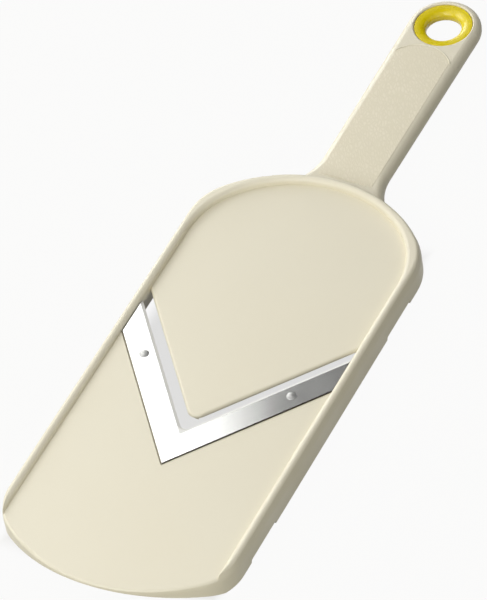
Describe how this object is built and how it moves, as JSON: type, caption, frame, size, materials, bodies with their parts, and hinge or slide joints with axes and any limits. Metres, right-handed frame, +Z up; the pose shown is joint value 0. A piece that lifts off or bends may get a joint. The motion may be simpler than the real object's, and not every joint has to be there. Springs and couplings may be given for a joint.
{
  "type": "mandoline slicer",
  "caption": "Flat hand-held slicer: a railed deck with a V blade over an open slot, and a slim padded handle that ends in a lined hanging hole.",
  "frame": {"origin": "middle of the footprint, on the surface that the slicer stands on", "axes": "+Z up through the decks, +Y along the slicer towards the handle, +X to the right seen from above with the handle away"},
  "size_m": [0.1, 0.3325, 0.0119],
  "materials": {
    "cream_plastic": "satin moulded, fine matte grain",
    "blade_steel": "ground and honed",
    "rivet_steel": "pressed and tumbled",
    "washer_steel": "plain stamped",
    "grip_rubber": "soft touch, leather-like grain",
    "cover_plastic": "fine matte grain",
    "screw_steel": "zinc plated",
    "yellow_plastic": "glossy moulded"
  },
  "bodies": {
    "root": {"slicer_body": "cream_plastic", "v_blade": "blade_steel", "blade_rivet_left": "rivet_steel", "blade_rivet_right": "rivet_steel", "rivet_washer_left": "washer_steel", "rivet_washer_right": "washer_steel", "grip_pad": "grip_rubber", "handle_cover": "cover_plastic", "cover_screw_front": "screw_steel", "cover_screw_rear": "screw_steel", "hanging_ring": "yellow_plastic", "ring_collar": "yellow_plastic"}
  },
  "joints": []
}
